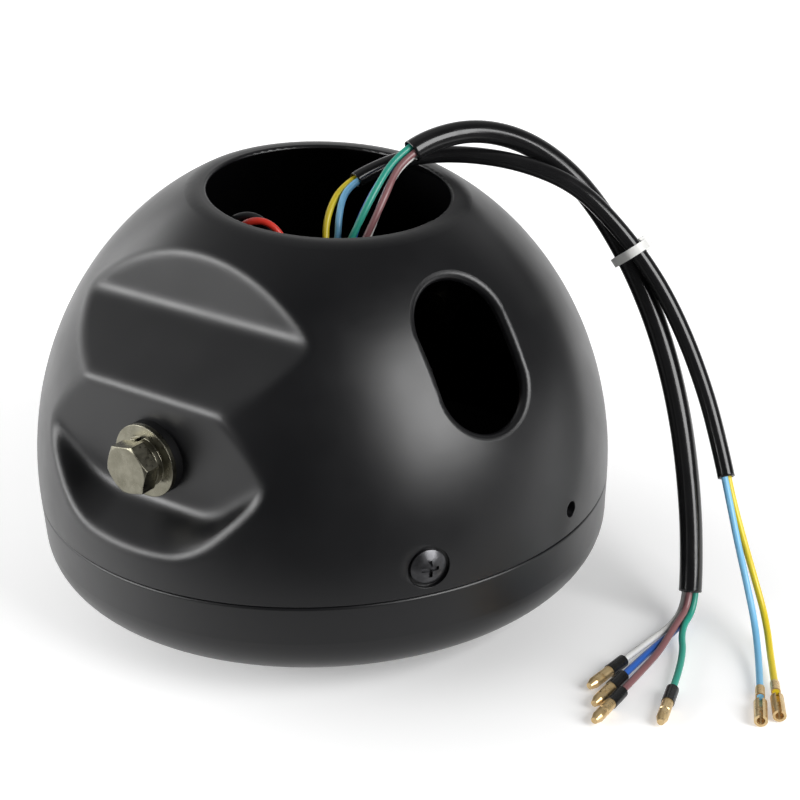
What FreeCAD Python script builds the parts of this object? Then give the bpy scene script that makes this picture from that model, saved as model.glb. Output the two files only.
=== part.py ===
import FreeCAD, Part
import math
import os

# LED motorbike headlight, lying lens down on its bezel with the rear opening on top.
# Millimetres. Z runs up along the lamp axis, X along the two side bolts, and the
# underside of the lamp (cable slot and drain hole) faces -Y.
# Azimuths are degrees about the lamp axis, counted from -Y towards +X.

Vec = FreeCAD.Vector
UP = Vec(0, 0, 1)
FULL_TURN = 360.0
CUT_SLACK = 5.0             # how far a cutting solid runs past what it cuts

# Bucket: an ellipsoidal bowl, open at the seam and at the rear
BOWL_R = 90.0
BOWL_RISE = 100.0
BOWL_WALL = 3.0
EQUATOR_Z = 40.2
SEAM_Z = 35.7
SEAM_CHAMFER = 0.5
REAR_DROP = 10.6            # how far the rear rim lies below the bowl's top, on the lamp axis
REAR_TILT = 5.3
REAR_LAND = 4.4
REAR_OUTER_FILLET = 8.0
REAR_INNER_FILLET = 0.8

# Side recess: an upright mounting flat, a sloping ledge above it, an upright back wall
# above the ledge, and a scooped step below the flat
FLAT_DEPTH = 15.0
LEDGE_OUT_Z = 88.5
LEDGE_WIDTH = 21.5
LEDGE_IN_Z = 105.3
BACK_LEAN = 10.0
LEDGE_VALLEY_FILLET = 5.0
LEDGE_EDGE_FILLET = 4.0
SCOOP_Z = 55.0
SCOOP_FLOOR_HALF = 22.0
SCOOP_SIDE_HALF = 46.0
SCOOP_SIDE_Z = 73.0
SCOOP_FLARE = 66.0
SCOOP_FALL = 28.3
SCOOP_FLOOR_FILLET = 26.0
SCOOP_SIDE_FILLET = 30.0
SCOOP_INNER_FILLET = 5.0
RECESS_EDGE_FILLET = 2.5

# Cable slot in the underside
SLOT_AZIMUTH = -13.5
SLOT_Z = 97.6
SLOT_WIDTH = 29.0
SLOT_LENGTH = 45.5
SLOT_LIP_FILLET = 2.0

# Drain hole beside the slot
DRAIN_AZIMUTH = 2.8
DRAIN_Z = 43.8
DRAIN_D = 5.0

# Bezel: the front ring, with a spigot that slides into the bucket
FACE_INSET = 26.9
FACE_LAND = 4.5
LIP_T = 3.0
LIP_WIDTH = 5.8
SHELF_WIDTH = 9.5
SHELF_RISE = 13.0
BEZEL_TAPER = 0.9
BEZEL_CORNER_Z = 15.6
BEZEL_CORNER_FILLET = 15.0
SPIGOT_RISE = 8.0
SPIGOT_WALL = 2.6
BEZEL_EDGE_FILLET = 0.8

# Rim screws, bucket to bezel
RIM_SCREW_AZIMUTHS = (-32.1, 147.9)
RIM_SCREW_Z = 44.4
RIM_SCREW_D = 5.0
RIM_SCREW_HOLE_D = 5.6
RIM_HEAD_D = 10.6
RIM_HEAD_H = 2.7
RIM_HEAD_EDGE = 0.9
RIM_RECESS_D = 12.6
RIM_RECESS_DEPTH = 1.4
RIM_LUG_SIDE = 12.0
RIM_LUG_DEPTH = 4.0
RIM_LUG_GAP = 0.1
RIM_SCREW_REACH = 1.5
CROSS_LENGTH = 5.2
CROSS_WIDTH = 1.2
CROSS_DEPTH = 1.5

# Side bolts with their washers, spacers and nuts
BOLT_Z = 69.5
BOLT_D = 8.0
BOLT_HOLE_D = 8.6
BOLT_HEX = 14.0
BOLT_TURN = 49.0
BOLT_HEAD_H = 5.3
BOLT_END_PAST_NUT = 2.0
HEX_CHAMFER = 0.8
SPRING_WASHER_D = 14.8
SPRING_WASHER_T = 2.0
SPRING_WASHER_SPLIT = 1.6
WASHER_D = 22.0
WASHER_T = 1.6
SPACER_D = 22.0
SPACER_T = 2.7
INNER_WASHER_D = 18.0
INNER_WASHER_T = 1.6
NUT_HEX = 14.0
NUT_H = 6.5

# Light unit held in the bezel
GASKET_T = 1.5
GASKET_INSET = 1.0
LENS_T = 3.0
LENS_SAG = 3.2
RIM_CLEARANCE = 0.3
FLANGE_T = 2.0
REFLECTOR_FLANGE_W = 8.0
REFLECTOR_NECK_R = 24.0
REFLECTOR_HOLE_R = 16.0
REFLECTOR_DEPTH = 36.5
REFLECTOR_WALL = 2.0
RING_GAP = 0.5
RING_T = 1.5
RING_SCREW_COUNT = 4
RING_SCREW_AZIMUTH = 45.0
RING_SCREW_D = 3.0
RING_SCREW_LENGTH = 4.0
RING_SCREW_HEAD_D = 5.6
RING_SCREW_HEAD_H = 1.8
RING_SCREW_EDGE = 0.6
SINK_R = 36.0
SINK_BASE_T = 5.0
SINK_HUB_R = 14.0
SINK_FIN_COUNT = 18
SINK_FIN_H = 13.0
SINK_FIN_T = 2.0
SINK_POST_H = 5.0
SINK_POST_GAP = 0.4
BOARD_T = 1.6
CHIP_COUNT = 6
CHIP_SIDE = 3.6
CHIP_T = 0.8
CHIP_CIRCLE_R = 8.5
DRIVER_R = 25.0
DRIVER_H = 18.0
DRIVER_FILLET = 2.0
DRIVER_RIB_COUNT = 12
DRIVER_RIB = 2.0

# Ribbed rubber boot where the wires enter the driver
BOOT_Y = -11.0
BOOT_R = 12.5
BOOT_TOP_R = 7.5
BOOT_RIBS = 3
BOOT_RIB_PITCH = 4.0
BOOT_RIB_DEPTH = 1.8
BOOT_TOP_H = 3.0

# Wires, sleeves and what is on them
WIRE_D = 2.1
WIRE_SPACING = 2.2
WIRE_RISE = 9.0             # upright stretch where a wire leaves the light unit
THICK_SLEEVE_D = 7.0
THICK_SLEEVE_BORE = 5.8
THIN_SLEEVE_D = 5.2
THIN_SLEEVE_BORE = 4.5
ARC_SHARE = 0.45
TIE_CLEARANCE = 0.5
TIE_T = 1.1
TIE_WIDTH = 2.8
TIE_HEAD = 4.6
TIE_HEAD_H = 3.2
BULLET_D = 3.4
BULLET_LENGTH = 10.0
BULLET_TIP_D = 2.0
BULLET_TIP_LENGTH = 2.2
BULLET_GROOVE = 0.35
CRIMP_D = 2.8
CRIMP_LENGTH = 6.5
SHRINK_D = 3.8
SHRINK_LENGTH = 7.0
BARREL_D = 3.9
BARREL_BORE = 2.4
BARREL_LENGTH = 9.0
BARREL_SLIT = 1.0
BARREL_NECK = 3.0
BARREL_NECK_WIDTH = 2.2
BARREL_CRIMP = 4.5

# Cord routes, corner by corner. A sleeve starts halfway along the first run of its core
# and ends halfway along the run after its last corner; the wires run on beyond it.
SLEEVE_CORNER_COUNT = 10
THICK_CORE = (
    (18.3, -18.0, 133.9), (28.8, -22.4, 139.0), (41.5, -30.5, 140.5), (51.8, -41.5, 136.4),
    (58.3, -53.7, 126.9), (61.0, -65.6, 113.4), (60.6, -78.0, 96.4), (57.1, -89.8, 77.4),
    (50.4, -100.6, 56.4), (42.4, -109.1, 33.6), (35.2, -114.1, 15.0), (31.2, -115.8, 5.4),
    (22.0, -116.6, 3.6),
)
THIN_CORE = (
    (10.5, -3.5, 125.3), (19.9, -6.0, 128.5), (31.6, -13.4, 131.7), (40.7, -26.5, 132.4),
    (46.7, -44.5, 131.0), (53.5, -60.0, 124.5), (56.9, -72.6, 112.7), (59.2, -84.7, 98.3),
    (58.9, -95.1, 83.0), (54.7, -106.4, 65.7), (48.6, -115.5, 50.4), (43.1, -122.1, 39.4),
)
TIE_THICK_COUNT = 5
TIE_THIN_COUNT = 6

# Each wire: the angle of its place in the sleeve, where it leaves the boot, the corners
# from there to the sleeve, and the corners from the sleeve to its terminal
THICK_WIRES = {
    "brown_wire": (
        0.0, (-1.8, -14.8),
        ((1.0, -20.0, 117.0), (8.5, -21.3, 127.0)),
        ((9.5, -118.2, 2.4), (-2.2, -119.0, 2.2), (-15.7, -119.9, 2.2)),
    ),
    "white_wire": (
        90.0, (3.2, -13.7),
        ((6.0, -16.5, 114.5), (11.0, -18.0, 124.0)),
        ((10.0, -112.6, 2.3), (-1.5, -111.8, 2.2)),
    ),
    "blue_wire": (
        180.0, (4.0, -9.8),
        ((4.5, -12.5, 116.0), (10.5, -14.8, 126.0)),
        ((9.0, -115.4, 2.2), (-8.5, -116.0, 2.2)),
    ),
    "green_wire": (
        270.0, (-4.1, -11.9),
        ((0.5, -16.0, 118.0), (8.0, -18.0, 128.5)),
        ((10.0, -126.0, 2.3), (-6.5, -131.4, 2.2)),
    ),
}
THIN_WIRES = {
    "light_blue_wire": (
        0.0, (0.5, -6.8),
        ((1.0, -8.5, 113.5), (3.5, -7.2, 120.0)),
        ((38.0, -127.5, 29.0), (36.8, -131.5, 18.0), (31.5, -138.0, 7.0), (17.5, -146.8, 2.3),
         (4.5, -153.7, 2.3)),
    ),
    "yellow_wire": (
        180.0, (-3.2, -8.3),
        ((-1.0, -5.0, 113.5), (3.2, -3.5, 120.5)),
        ((41.5, -127.8, 28.0), (41.0, -132.0, 17.5), (36.8, -138.8, 6.8), (23.0, -147.8, 2.3),
         (9.3, -156.2, 2.3)),
    ),
}
# Two wires of the light unit that loop up into the rear opening: where each leaves the
# driver, its corners, and where it goes back in
LOOP_WIRES = {
    "red_wire": (
        (-15.0, 12.0),
        ((-26.5, 10.0, 114.0), (-28.0, 4.0, 125.0), (-24.5, -5.0, 126.0), (-22.5, -11.0, 115.0)),
        (-17.0, -9.0),
    ),
    "black_wire": (
        (-11.0, 15.5),
        ((-24.0, 16.0, 114.0), (-26.0, 10.5, 124.5), (-21.5, 2.0, 125.8), (-19.0, -4.0, 115.0)),
        (-13.5, -3.0),
    ),
}

# Places that follow from the sizes above
FLAT_X = BOWL_R - FLAT_DEPTH
LEDGE_IN_X = FLAT_X - LEDGE_WIDTH
SPIGOT_TOP_Z = SEAM_Z + SPIGOT_RISE
GASKET_TOP_Z = LIP_T + GASKET_T
LENS_TOP_Z = GASKET_TOP_Z + LENS_T
SHELF_Z = LENS_TOP_Z + FLANGE_T
RING_TOP_Z = SHELF_Z + RING_T
SINK_Z = LENS_TOP_Z + REFLECTOR_DEPTH + REFLECTOR_WALL
FIN_Z = SINK_Z + SINK_BASE_T
DRIVER_Z = FIN_Z + SINK_FIN_H
DRIVER_TOP_Z = DRIVER_Z + DRIVER_H
BOOT_TOP_Z = DRIVER_TOP_Z + BOOT_RIBS * BOOT_RIB_PITCH + BOOT_TOP_H


def ellipse_radius(height, radial, axial):
    """Radius at a height of the bowl's ellipse with these half axes."""
    return radial * math.sqrt(1.0 - ((height - EQUATOR_Z) / axial) ** 2)


SPIGOT_R = ellipse_radius(SPIGOT_TOP_Z, BOWL_R - BOWL_WALL, BOWL_RISE - BOWL_WALL)
SEAM_R = ellipse_radius(SEAM_Z, BOWL_R, BOWL_RISE)
FACE_R = SEAM_R - FACE_INSET
LIP_R = FACE_R - FACE_LAND
SEAT_R = LIP_R + LIP_WIDTH
SHELF_R = SEAT_R + SHELF_WIDTH
FLANGE_R = SEAT_R - RIM_CLEARANCE
RING_OUTER_R = SHELF_R - RIM_CLEARANCE
REFLECTOR_MOUTH_R = FLANGE_R - REFLECTOR_FLANGE_W
RING_INNER_R = REFLECTOR_MOUTH_R + REFLECTOR_WALL + RING_GAP


def section_point(radius, height):
    return Vec(radius, 0, height)


def at_azimuth(radius, azimuth, height):
    angle = math.radians(azimuth)
    return Vec(radius * math.sin(angle), -radius * math.cos(angle), height)


def ellipse_arc(centre_r, centre_z, radial, axial, start, end):
    """Arc in the XZ plane; its angles run from the radial axis towards +Z."""
    centre = section_point(centre_r, centre_z)
    if axial == radial:
        angles = [math.radians(a) for a in (start, (start + end) / 2, end)]
        points = [centre + section_point(math.cos(a), math.sin(a)) * radial for a in angles]
        return Part.Arc(*points).toShape()
    if axial > radial:
        top = section_point(centre_r, centre_z + axial)
        inner = section_point(centre_r - radial, centre_z)
        curve = Part.Ellipse(top, inner, centre)
        return curve.toShape(math.radians(start - 90.0), math.radians(end - 90.0))
    outer = section_point(centre_r + radial, centre_z)
    top = section_point(centre_r, centre_z + axial)
    curve = Part.Ellipse(outer, top, centre)
    return curve.toShape(math.radians(start), math.radians(end))


def turned(start, *steps):
    """Solid of revolution about Z. A step is a corner, an arc (via, corner) or (edge, corner)."""
    edges = []
    here = start
    for step in steps + (start,):
        there = step
        if isinstance(step[0], Part.Edge):
            there = step[1]
            edges.append(step[0])
        elif isinstance(step[0], tuple):
            there = step[1]
            points = [section_point(*p) for p in (here, step[0], there)]
            edges.append(Part.Arc(*points).toShape())
        else:
            edges.append(Part.makeLine(section_point(*here), section_point(*there)))
        here = there
    return Part.Face(Part.Wire(edges)).revolve(Vec(), UP, FULL_TURN)


def cap(edge, apex_z):
    """Step from a corner along a ball's surface to its apex on the axis."""
    radius, edge_z = edge
    sag = apex_z - edge_z
    ball = (radius ** 2 + sag ** 2) / (2 * sag)
    half = math.asin(radius / abs(ball)) / 2
    via = (abs(ball) * math.sin(half), apex_z - ball * (1.0 - math.cos(half)))
    return via, (0, apex_z)


def placed(shape, origin, normal, up=UP):
    """Copy of a shape with its local Z along normal and its local Y near up."""
    across = up.cross(normal)
    if across.Length < 1e-6:
        across = Vec(1, 0, 0)
    turn = FreeCAD.Rotation(across, normal.cross(across), normal, "ZXY")
    copy = shape.copy()
    copy.Placement = FreeCAD.Placement(origin, turn).multiply(copy.Placement)
    return copy


def about_axis(shape, azimuth):
    copy = shape.copy()
    copy.rotate(Vec(), UP, azimuth)
    return copy


def both_sides(shape):
    return [shape, shape.mirror(Vec(), Vec(1, 0, 0))]


def hex_prism(across_flats, height, chamfer):
    """Hexagon standing on z = 0, its top corners turned off at the chamfer."""
    corner_r = across_flats / math.sqrt(3.0)
    corners = [Vec(corner_r * math.cos(math.radians(60 * i)), corner_r * math.sin(math.radians(60 * i)), 0)
               for i in range(7)]
    prism = Part.Face(Part.makePolygon(corners)).extrude(Vec(0, 0, height))
    flat_r = across_flats / 2
    cone = turned((0, 0), (corner_r + chamfer, 0), (corner_r + chamfer, height - chamfer),
                  (flat_r, height), (0, height))
    return prism.common(cone)


def disc(outer_d, bore_d, thickness):
    return Part.makeCylinder(outer_d / 2, thickness).cut(Part.makeCylinder(bore_d / 2, thickness))


def rounded_edges(points, radii, closed=False):
    """Straight runs through the points, joined by tangent arcs of the given radii."""
    count = len(points)
    edges = []
    starts = []
    for i, point in enumerate(points):
        if not closed and i in (0, count - 1) or radii[i] == 0:
            starts.append((point, None, point))
            continue
        before = (point - points[i - 1]).normalize()
        after = (points[(i + 1) % count] - point).normalize()
        half = before.getAngle(after) / 2
        tangent = radii[i] * math.tan(half)
        inward = (after - before).normalize()
        middle = point + inward * (radii[i] / math.cos(half) - radii[i])
        starts.append((point - before * tangent, middle, point + after * tangent))
    for i in range(count):
        entry, middle, leave = starts[i]
        if middle is not None:
            edges.append(Part.Arc(entry, middle, leave).toShape())
        if closed or i < count - 1:
            edges.append(Part.makeLine(leave, starts[(i + 1) % count][0]))
    return edges


def rounded_steps(corners, radii):
    """Steps of a turned outline through rounded corners, after the first one."""
    edges = rounded_edges([section_point(*c) for c in corners], radii)
    return [(e, (e.lastVertex().Point.x, e.lastVertex().Point.z)) for e in edges]


def grown(points, distance):
    """Counter-clockwise polygon with every side moved outwards."""
    result = []
    count = len(points)
    for i, (u, v) in enumerate(points):
        before = Vec(u - points[i - 1][0], v - points[i - 1][1], 0).normalize()
        after = Vec(points[(i + 1) % count][0] - u, points[(i + 1) % count][1] - v, 0).normalize()
        normals = Vec(before.y + after.y, -before.x - after.x, 0)
        shift = distance / (1.0 + before.dot(after))
        result.append((u + normals.x * shift, v + normals.y * shift))
    return result


def ledge_tool(grow):
    """Cuts the back wall and the ledge; grow moves its faces into the bowl."""
    far = BOWL_R + CUT_SLACK
    top = EQUATOR_Z + BOWL_RISE + CUT_SLACK
    low = (LEDGE_OUT_Z + SCOOP_SIDE_Z) / 2
    lean = math.tan(math.radians(BACK_LEAN))
    back_top_x = LEDGE_IN_X - lean * (top - LEDGE_IN_Z)
    outline = [(far, low), (far, top), (back_top_x, top), (LEDGE_IN_X, LEDGE_IN_Z),
               (FLAT_X, LEDGE_OUT_Z), (FLAT_X, low)]
    radii = [0, 0, 0, LEDGE_VALLEY_FILLET - grow / 2, LEDGE_EDGE_FILLET + grow / 2, 0]
    points = [Vec(x, -BOWL_R, z) for x, z in grown(outline, grow)]
    face = Part.Face(Part.Wire(rounded_edges(points, radii, closed=True)))
    return face.extrude(Vec(0, 2 * BOWL_R, 0))


def scoop_tool(grow):
    """Cuts the mounting flat and the scooped step under it."""
    top = LEDGE_IN_Z
    flare = (top - SCOOP_SIDE_Z) / math.tan(math.radians(SCOOP_FLARE))
    half_top = SCOOP_SIDE_HALF + flare
    outline = [(-half_top, top), (-SCOOP_SIDE_HALF, SCOOP_SIDE_Z), (-SCOOP_FLOOR_HALF, SCOOP_Z),
               (SCOOP_FLOOR_HALF, SCOOP_Z), (SCOOP_SIDE_HALF, SCOOP_SIDE_Z), (half_top, top)]
    radii = [0, SCOOP_SIDE_FILLET, SCOOP_FLOOR_FILLET, SCOOP_FLOOR_FILLET, SCOOP_SIDE_FILLET, 0]
    flat = FLAT_X - grow
    points = [Vec(flat, y, z) for y, z in grown(outline, grow)]
    face = Part.Face(Part.Wire(rounded_edges(points, radii, closed=True)))
    reach = BOWL_R + CUT_SLACK - flat
    tool = face.extrude(Vec(reach, 0, -reach * math.tan(math.radians(SCOOP_FALL))))
    crease = [e for e in tool.Edges
              if e.BoundBox.XMax < flat + 1e-3 and e.BoundBox.ZMin < top - 1.0]
    return tool.makeFillet(SCOOP_INNER_FILLET, crease)


def on_bowl(edge):
    """True for an edge that lies in the bowl's outer surface."""
    for share in (0.1, 0.5, 0.9):
        first, last = edge.ParameterRange
        point = edge.valueAt(first + share * (last - first))
        radius = math.hypot(point.x, point.y) / BOWL_R
        height = (point.z - EQUATOR_Z) / BOWL_RISE
        if abs(math.hypot(radius, height) - 1.0) > 1e-5:
            return False
    return True


def bowl(radial, axial, base):
    start = math.degrees(math.asin((base - EQUATOR_Z) / axial))
    arc = ellipse_arc(0, EQUATOR_Z, radial, axial, start, 90.0)
    top = EQUATOR_Z + axial
    return turned((0, base), (ellipse_radius(base, radial, axial), base), (arc, (0, top)))


# The rear rim is where a leaning plane cuts the bowl; this is the rim's middle and size
REAR_NORMAL = Vec(0, -math.sin(math.radians(REAR_TILT)), math.cos(math.radians(REAR_TILT)))
REAR_SPREAD = (BOWL_R * REAR_NORMAL.y) ** 2 + (BOWL_RISE * REAR_NORMAL.z) ** 2
REAR_REACH = (BOWL_RISE - REAR_DROP) * REAR_NORMAL.z
REAR_SHIFT = Vec(0, BOWL_R ** 2 * REAR_NORMAL.y, BOWL_RISE ** 2 * REAR_NORMAL.z) * (REAR_REACH / REAR_SPREAD)
REAR_CENTRE = REAR_SHIFT + UP * EQUATOR_Z
REAR_R = BOWL_R * math.sqrt(1.0 - REAR_REACH ** 2 / REAR_SPREAD) - REAR_LAND


def is_circle(edge, radius):
    return isinstance(edge.Curve, Part.Circle) and abs(edge.Curve.Radius - radius) < 1e-4


SLOT_CENTRE = at_azimuth(ellipse_radius(SLOT_Z, BOWL_R, BOWL_RISE), SLOT_AZIMUTH, SLOT_Z)


def slot_tool():
    """Rounded slot that follows the bowl's normal at its centre."""
    radius = ellipse_radius(SLOT_Z, BOWL_R, BOWL_RISE)
    outward = radius / BOWL_R ** 2
    upward = (SLOT_Z - EQUATOR_Z) / BOWL_RISE ** 2
    normal = at_azimuth(outward, SLOT_AZIMUTH, upward).normalize()
    half_w = SLOT_WIDTH / 2
    half_l = SLOT_LENGTH / 2
    straight = half_l - half_w
    edges = [Part.Arc(Vec(half_w, straight, 0), Vec(0, half_l, 0), Vec(-half_w, straight, 0)).toShape(),
             Part.makeLine(Vec(-half_w, straight, 0), Vec(-half_w, -straight, 0)),
             Part.Arc(Vec(-half_w, -straight, 0), Vec(0, -half_l, 0), Vec(half_w, -straight, 0)).toShape(),
             Part.makeLine(Vec(half_w, -straight, 0), Vec(half_w, straight, 0))]
    face = Part.Face(Part.Wire(edges))
    depth = BOWL_R / 4
    face.translate(Vec(0, 0, -depth))
    tool = face.extrude(Vec(0, 0, 2 * depth))
    return placed(tool, SLOT_CENTRE, normal)


def radial_hole(diameter, azimuth, height, inner, outer):
    hole = Part.makeCylinder(diameter / 2, outer - inner)
    return placed(hole, at_azimuth(inner, azimuth, height), at_azimuth(1, azimuth, 0))


RIM_SEAT_R = ellipse_radius(RIM_SCREW_Z, BOWL_R, BOWL_RISE) - RIM_RECESS_DEPTH
HOLE_INNER_R = SPIGOT_R - SPIGOT_WALL - RIM_LUG_DEPTH - CUT_SLACK
HOLE_OUTER_R = BOWL_R + CUT_SLACK


def make_bucket():
    body = bowl(BOWL_R, BOWL_RISE, SEAM_Z)
    for tool in (ledge_tool(0), scoop_tool(0)):
        body = body.cut(both_sides(tool))
    edges = [e for e in body.Edges if on_bowl(e) and e.BoundBox.ZMin > SEAM_Z + SEAM_CHAMFER]
    edges = [e for e in edges if e.BoundBox.DiagonalLength > 1e-3 and not is_meridian(e)]
    body = body.makeFillet(RECESS_EDGE_FILLET, edges)

    lid_size = 4 * BOWL_R
    lid = Part.makeBox(lid_size, lid_size, BOWL_RISE, Vec(-lid_size / 2, -lid_size / 2, 0))
    body = body.cut(placed(lid, REAR_CENTRE, REAR_NORMAL, Vec(0, 1, 0)))
    rim = [e for e in body.Edges
           if on_bowl(e) and e.BoundBox.XLength > REAR_R and e.BoundBox.ZMin > LEDGE_IN_Z]
    body = body.makeFillet(REAR_OUTER_FILLET, [max(rim, key=lambda e: e.BoundBox.ZMin)])

    hollow = bowl(BOWL_R - BOWL_WALL, BOWL_RISE - BOWL_WALL, SPIGOT_TOP_Z)
    for tool in (ledge_tool(BOWL_WALL), scoop_tool(BOWL_WALL)):
        hollow = hollow.cut(both_sides(tool))
    hollow = hollow.fuse(Part.makeCylinder(SPIGOT_R, SPIGOT_RISE, Vec(0, 0, SEAM_Z)))
    body = body.cut(hollow)
    opening = Part.makeCylinder(REAR_R, BOWL_RISE, Vec(0, 0, -BOWL_RISE / 2))
    body = body.cut(placed(opening, REAR_CENTRE, REAR_NORMAL, Vec(0, 1, 0)))
    mouth = [e for e in body.Edges if is_circle(e, REAR_R) and (e.Curve.Center - REAR_CENTRE).Length < 1e-3]
    body = body.makeFillet(REAR_INNER_FILLET, mouth)

    body = body.cut(slot_tool())
    lip = [e for e in body.Edges if on_bowl(e) and (e.BoundBox.Center - SLOT_CENTRE).Length < SLOT_LENGTH]
    body = body.makeFillet(SLOT_LIP_FILLET, lip)
    seam = [e for e in body.Edges if is_circle(e, SEAM_R) and e.BoundBox.ZMax < SEAM_Z + 1e-3]
    body = body.makeChamfer(SEAM_CHAMFER, seam)
    body = body.cut(radial_hole(DRAIN_D, DRAIN_AZIMUTH, DRAIN_Z, HOLE_INNER_R, HOLE_OUTER_R))
    for azimuth in RIM_SCREW_AZIMUTHS:
        body = body.cut(radial_hole(RIM_RECESS_D, azimuth, RIM_SCREW_Z, RIM_SEAT_R, HOLE_OUTER_R))
        body = body.cut(radial_hole(RIM_SCREW_HOLE_D, azimuth, RIM_SCREW_Z, HOLE_INNER_R, HOLE_OUTER_R))
    bolt_hole = placed(Part.makeCylinder(BOLT_HOLE_D / 2, BOWL_R), Vec(0, 0, BOLT_Z), Vec(1, 0, 0))
    bolt_hole.translate(Vec(FLAT_X - BOWL_R / 2, 0, 0))
    return body.cut(both_sides(bolt_hole))


def is_meridian(edge):
    """The seam line that a revolved face keeps along one meridian."""
    box = edge.BoundBox
    return box.YLength < 1e-6 and abs(box.YMax) < 1e-6 and box.ZLength > 1.0


def make_bezel():
    corner = (SEAM_R - BEZEL_TAPER, BEZEL_CORNER_Z)
    outer = rounded_steps([(FACE_R, 0), corner, (SEAM_R, SEAM_Z)], [0, BEZEL_CORNER_FILLET, 0])
    spigot_in = SPIGOT_R - SPIGOT_WALL
    ring = turned((LIP_R, 0), (FACE_R, 0), *outer, (SPIGOT_R, SEAM_Z),
                  (SPIGOT_R, SPIGOT_TOP_Z), (spigot_in, SPIGOT_TOP_Z), (spigot_in, SHELF_Z + SHELF_RISE),
                  (SHELF_R, SHELF_Z), (SEAT_R, SHELF_Z), (SEAT_R, LIP_T), (LIP_R, LIP_T))
    rim = [e for e in ring.Edges
           if abs(e.BoundBox.ZMax - SEAM_Z) < 1e-6 and abs(e.BoundBox.XMax - SEAM_R) < 1e-3
           and e.BoundBox.ZLength < 1e-6]
    ring = ring.makeFillet(BEZEL_EDGE_FILLET, rim)
    lug_top = RIM_SCREW_Z + RIM_LUG_SIDE / 2
    lug_r = ellipse_radius(lug_top, BOWL_R - BOWL_WALL, BOWL_RISE - BOWL_WALL) - RIM_LUG_GAP
    for azimuth in RIM_SCREW_AZIMUTHS:
        half = RIM_LUG_SIDE / 2
        lug = Part.makeBox(RIM_LUG_SIDE, RIM_LUG_SIDE, RIM_LUG_DEPTH + SPIGOT_WALL, Vec(-half, -half, 0))
        seat = at_azimuth(spigot_in - RIM_LUG_DEPTH, azimuth, RIM_SCREW_Z)
        lug = placed(lug, seat, at_azimuth(1, azimuth, 0))
        ring = ring.fuse(lug.common(Part.makeCylinder(lug_r, lug_top)))
        ring = ring.cut(radial_hole(RIM_SCREW_D, azimuth, RIM_SCREW_Z, HOLE_INNER_R, HOLE_OUTER_R))
    ring = ring.cut(radial_hole(DRAIN_D, DRAIN_AZIMUTH, DRAIN_Z, HOLE_INNER_R, HOLE_OUTER_R))
    holes = [Part.makeCylinder(RING_SCREW_D / 2, RING_SCREW_LENGTH, ring_screw_seat(i) - UP * RING_SCREW_LENGTH)
             for i in range(RING_SCREW_COUNT)]
    return ring.cut(holes).removeSplitter()


def ring_screw_seat(index):
    azimuth = RING_SCREW_AZIMUTH + index * FULL_TURN / RING_SCREW_COUNT
    return at_azimuth((SEAT_R + RING_OUTER_R) / 2, azimuth, RING_TOP_Z)


def make_rim_screws():
    length = RIM_SEAT_R - (SPIGOT_R - SPIGOT_WALL - RIM_LUG_DEPTH) + RIM_SCREW_REACH
    head_r = RIM_HEAD_D / 2
    shank_r = RIM_SCREW_D / 2
    screw = turned((0, -length), (shank_r, -length), (shank_r, 0), (head_r, 0), (head_r, RIM_HEAD_EDGE),
                   cap((head_r, RIM_HEAD_EDGE), RIM_HEAD_H))
    for along, across in ((CROSS_LENGTH, CROSS_WIDTH), (CROSS_WIDTH, CROSS_LENGTH)):
        corner = Vec(-along / 2, -across / 2, RIM_HEAD_H - CROSS_DEPTH)
        screw = screw.cut(Part.makeBox(along, across, CROSS_DEPTH, corner))
    return [placed(screw, at_azimuth(RIM_SEAT_R, a, RIM_SCREW_Z), at_azimuth(1, a, 0))
            for a in RIM_SCREW_AZIMUTHS]


SPACER_X = FLAT_X + SPACER_T
WASHER_X = SPACER_X + WASHER_T
HEAD_X = WASHER_X + SPRING_WASHER_T
INNER_WASHER_X = FLAT_X - BOWL_WALL - INNER_WASHER_T
NUT_X = INNER_WASHER_X - NUT_H


def on_bolt_axis(shape, x):
    return both_sides(placed(shape, Vec(x, 0, BOLT_Z), Vec(1, 0, 0)))


def make_side_bolts():
    length = HEAD_X - NUT_X + BOLT_END_PAST_NUT
    shank = Part.makeCylinder(BOLT_D / 2, length, Vec(0, 0, -length))
    head = about_axis(hex_prism(BOLT_HEX, BOLT_HEAD_H, HEX_CHAMFER), BOLT_TURN)
    return on_bolt_axis(head.fuse(shank), HEAD_X)


def make_side_washers():
    """Under each head a split spring washer, and under that a plain washer."""
    spring = disc(SPRING_WASHER_D, BOLT_HOLE_D, SPRING_WASHER_T)
    split = Part.makeBox(SPRING_WASHER_SPLIT, SPRING_WASHER_D, SPRING_WASHER_T)
    split.translate(Vec(-SPRING_WASHER_SPLIT / 2, 0, 0))
    plain = disc(WASHER_D, BOLT_HOLE_D, WASHER_T)
    return on_bolt_axis(plain, SPACER_X) + on_bolt_axis(spring.cut(split), WASHER_X)


def make_nuts():
    nut = hex_prism(NUT_HEX, NUT_H, HEX_CHAMFER).cut(Part.makeCylinder(BOLT_D / 2, NUT_H))
    return on_bolt_axis(nut, NUT_X)


def make_lens():
    dome_r = LIP_R - RIM_CLEARANCE
    front = (dome_r, GASKET_TOP_Z)
    back = (dome_r, LENS_TOP_Z)
    front_apex = GASKET_TOP_Z - LENS_SAG
    return turned((0, front_apex), (cap(front, front_apex)[0], front), (FLANGE_R, GASKET_TOP_Z),
                  (FLANGE_R, LENS_TOP_Z), back, cap(back, front_apex + LENS_T))


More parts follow.
